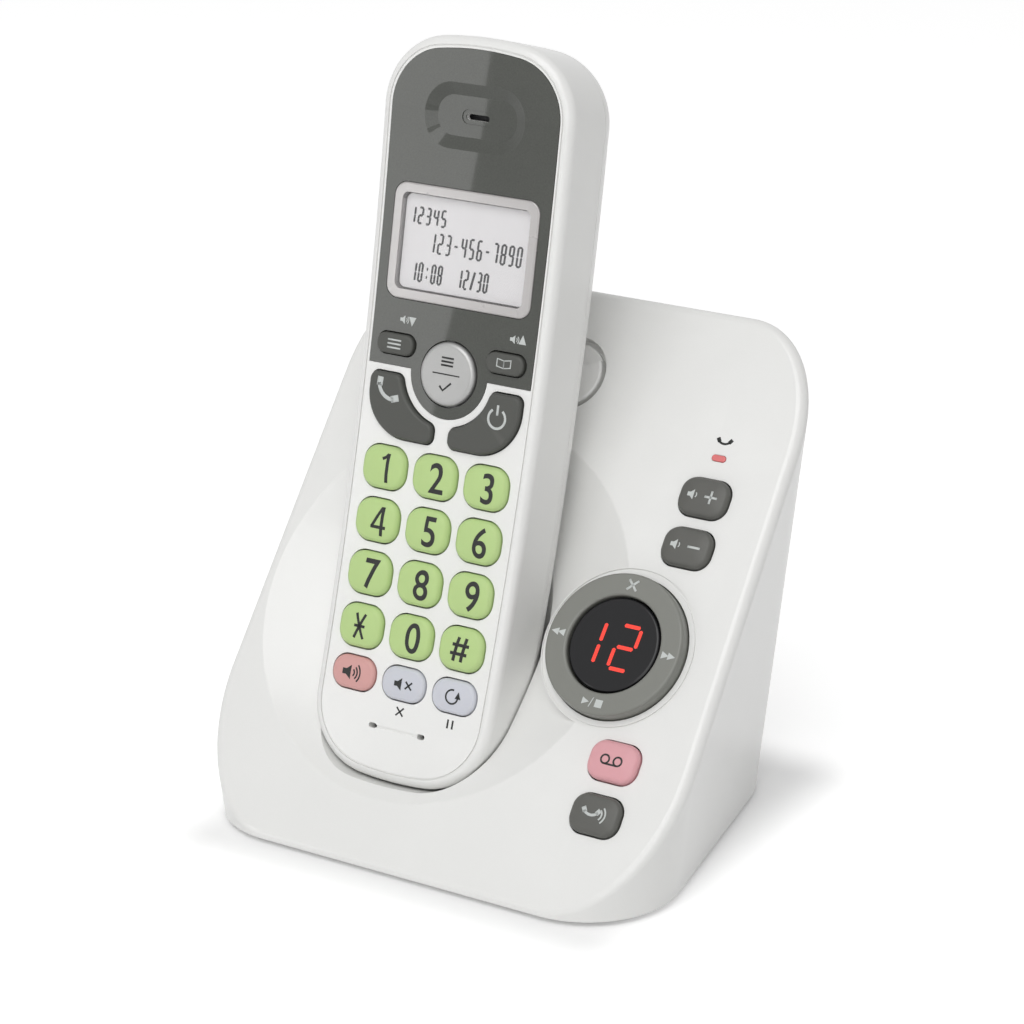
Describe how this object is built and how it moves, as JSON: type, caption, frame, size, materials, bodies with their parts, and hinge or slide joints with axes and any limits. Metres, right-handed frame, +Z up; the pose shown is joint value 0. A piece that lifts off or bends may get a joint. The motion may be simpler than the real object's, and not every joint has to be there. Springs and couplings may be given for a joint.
{
  "type": "cordless phone",
  "caption": "Cordless telephone with answering machine: a handset with keypad and display stands in the bowl of a sloping base with round control, buttons and wall hook.",
  "frame": {"origin": "on the table, under the centre of the base", "axes": "+X to the right seen from the front, +Y to the back, +Z up"},
  "size_m": [0.1174, 0.0874, 0.1683],
  "materials": {
    "handset_shell": "satin",
    "base_shell": "satin",
    "dark_panel": "gloss",
    "frame_silver": "satin",
    "round_key_silver": "satin",
    "clear_window": "clear",
    "lcd": "matte",
    "board": "satin",
    "key_mat": "matte",
    "speaker_black": "matte",
    "battery_wrap": "satin",
    "spring_metal": "satin",
    "screw_steel": "satin",
    "key_dark": "satin",
    "key_green": "satin",
    "key_salmon": "satin",
    "key_grey": "satin",
    "ring_grey": "satin",
    "button_dark": "satin",
    "button_pink": "satin",
    "lens_dark": "gloss",
    "module_black": "matte",
    "lamp_red": "gloss",
    "rubber": "matte",
    "socket_black": "matte"
  },
  "bodies": {
    "base": {"base_top_shell": "base_shell", "base_bottom_cover": "base_shell", "base_pcb": "board", "base_speaker": "speaker_black", "display_module": "module_black", "display_lens": "lens_dark", "in_use_light": "lamp_red", "charge_springs": "spring_metal", "rubber_feet": "rubber", "base_screws": "screw_steel", "power_jack": "socket_black", "phone_jack": "socket_black"},
    "handset": {"battery_contacts": "spring_metal", "battery_pack": "battery_wrap", "charge_strips": "spring_metal", "earpiece_speaker": "speaker_black", "handset_face_panel": "dark_panel", "handset_front_shell": "handset_shell", "handset_pcb": "board", "handset_rear_shell": "handset_shell", "handset_screws": "screw_steel", "keypad_mat": "key_mat", "lcd_bezel": "frame_silver", "lcd_module": "lcd", "lcd_window": "clear_window", "loudspeaker": "speaker_black", "microphone": "speaker_black"},
    "key_1_body": {"key_1": "key_green"},
    "key_2_body": {"key_2": "key_green"},
    "key_3_body": {"key_3": "key_green"},
    "key_4_body": {"key_4": "key_green"},
    "key_5_body": {"key_5": "key_green"},
    "key_6_body": {"key_6": "key_green"},
    "key_7_body": {"key_7": "key_green"},
    "key_8_body": {"key_8": "key_green"},
    "key_9_body": {"key_9": "key_green"},
    "key_star_body": {"key_star": "key_green"},
    "key_0_body": {"key_0": "key_green"},
    "key_hash_body": {"key_hash": "key_green"},
    "speaker_key_body": {"speaker_key": "key_salmon"},
    "mute_key_body": {"mute_key": "key_grey"},
    "redial_key_body": {"redial_key": "key_grey"},
    "soft_key_left_body": {"soft_key_left": "key_dark"},
    "soft_key_right_body": {"soft_key_right": "key_dark"},
    "menu_button_body": {"menu_button": "round_key_silver"},
    "talk_key_body": {"talk_key": "key_dark"},
    "off_key_body": {"off_key": "key_dark"},
    "ring_button_body": {"ring_button": "ring_grey"},
    "handset_hook_body": {"handset_hook": "base_shell"},
    "battery_door_body": {"battery_door": "handset_shell"},
    "volume_up_body": {"volume_up": "button_dark"},
    "volume_down_body": {"volume_down": "button_dark"},
    "answer_button_body": {"answer_button": "button_pink"},
    "find_button_body": {"find_button": "button_dark"}
  },
  "joints": [
    {"name": "handset_lift", "type": "slide", "parent": "base", "child": "handset", "axis": [0, 0.2924, 0.9563], "range_m": [0, 0.1]},
    {"name": "key_1_press", "type": "slide", "parent": "handset", "child": "key_1_body", "axis": [0, 0.9599, -0.2803], "range_m": [0, 0.0008], "stiffness_N_per_m": 300},
    {"name": "key_2_press", "type": "slide", "parent": "handset", "child": "key_2_body", "axis": [0, 0.9599, -0.2803], "range_m": [0, 0.0008], "stiffness_N_per_m": 300},
    {"name": "key_3_press", "type": "slide", "parent": "handset", "child": "key_3_body", "axis": [0, 0.9599, -0.2803], "range_m": [0, 0.0008], "stiffness_N_per_m": 300},
    {"name": "key_4_press", "type": "slide", "parent": "handset", "child": "key_4_body", "axis": [0, 0.9555, -0.2949], "range_m": [0, 0.0008], "stiffness_N_per_m": 300},
    {"name": "key_5_press", "type": "slide", "parent": "handset", "child": "key_5_body", "axis": [0, 0.9555, -0.2949], "range_m": [0, 0.0008], "stiffness_N_per_m": 300},
    {"name": "key_6_press", "type": "slide", "parent": "handset", "child": "key_6_body", "axis": [0, 0.9555, -0.2949], "range_m": [0, 0.0008], "stiffness_N_per_m": 300},
    {"name": "key_7_press", "type": "slide", "parent": "handset", "child": "key_7_body", "axis": [0, 0.9509, -0.3094], "range_m": [0, 0.0008], "stiffness_N_per_m": 300},
    {"name": "key_8_press", "type": "slide", "parent": "handset", "child": "key_8_body", "axis": [0, 0.9509, -0.3094], "range_m": [0, 0.0008], "stiffness_N_per_m": 300},
    {"name": "key_9_press", "type": "slide", "parent": "handset", "child": "key_9_body", "axis": [0, 0.9509, -0.3094], "range_m": [0, 0.0008], "stiffness_N_per_m": 300},
    {"name": "key_star_press", "type": "slide", "parent": "handset", "child": "key_star_body", "axis": [0, 0.9461, -0.3238], "range_m": [0, 0.0008], "stiffness_N_per_m": 300},
    {"name": "key_0_press", "type": "slide", "parent": "handset", "child": "key_0_body", "axis": [0, 0.9461, -0.3238], "range_m": [0, 0.0008], "stiffness_N_per_m": 300},
    {"name": "key_hash_press", "type": "slide", "parent": "handset", "child": "key_hash_body", "axis": [0, 0.9461, -0.3238], "range_m": [0, 0.0008], "stiffness_N_per_m": 300},
    {"name": "speaker_key_press", "type": "slide", "parent": "handset", "child": "speaker_key_body", "axis": [0, 0.9416, -0.3366], "range_m": [0, 0.0008], "stiffness_N_per_m": 300},
    {"name": "mute_key_press", "type": "slide", "parent": "handset", "child": "mute_key_body", "axis": [0, 0.9416, -0.3366], "range_m": [0, 0.0008], "stiffness_N_per_m": 300},
    {"name": "redial_key_press", "type": "slide", "parent": "handset", "child": "redial_key_body", "axis": [0, 0.9416, -0.3366], "range_m": [0, 0.0008], "stiffness_N_per_m": 300},
    {"name": "soft_key_left_press", "type": "slide", "parent": "handset", "child": "soft_key_left_body", "axis": [0, 0.9691, -0.2465], "range_m": [0, 0.0008], "stiffness_N_per_m": 300},
    {"name": "soft_key_right_press", "type": "slide", "parent": "handset", "child": "soft_key_right_body", "axis": [0, 0.9691, -0.2465], "range_m": [0, 0.0008], "stiffness_N_per_m": 300},
    {"name": "menu_button_press", "type": "slide", "parent": "handset", "child": "menu_button_body", "axis": [0, 0.9677, -0.2521], "range_m": [0, 0.0008], "stiffness_N_per_m": 300},
    {"name": "talk_key_press", "type": "slide", "parent": "handset", "child": "talk_key_body", "axis": [0, 0.9677, -0.2521], "range_m": [0, 0.0008], "stiffness_N_per_m": 300},
    {"name": "off_key_press", "type": "slide", "parent": "handset", "child": "off_key_body", "axis": [0, 0.9677, -0.2521], "range_m": [0, 0.0008], "stiffness_N_per_m": 300},
    {"name": "battery_door_slide", "type": "slide", "parent": "handset", "child": "battery_door_body", "axis": [0, -0.2924, -0.9563], "range_m": [0, 0.003]},
    {"name": "volume_up_press", "type": "slide", "parent": "base", "child": "volume_up_body", "axis": [0, 0.7771, -0.6293], "range_m": [0, 0.0006], "stiffness_N_per_m": 300},
    {"name": "volume_down_press", "type": "slide", "parent": "base", "child": "volume_down_body", "axis": [0, 0.7771, -0.6293], "range_m": [0, 0.0006], "stiffness_N_per_m": 300},
    {"name": "answer_button_press", "type": "slide", "parent": "base", "child": "answer_button_body", "axis": [0, 0.7771, -0.6293], "range_m": [0, 0.0006], "stiffness_N_per_m": 300},
    {"name": "find_button_press", "type": "slide", "parent": "base", "child": "find_button_body", "axis": [0, 0.7771, -0.6293], "range_m": [0, 0.0006], "stiffness_N_per_m": 300},
    {"name": "ring_button_press", "type": "slide", "parent": "base", "child": "ring_button_body", "axis": [0, 0.7771, -0.6293], "range_m": [0, 0.0006], "stiffness_N_per_m": 300},
    {"name": "hook_pull", "type": "slide", "parent": "base", "child": "handset_hook_body", "axis": [0, -0.7771, 0.6293], "range_m": [0, 0.004]}
  ]
}
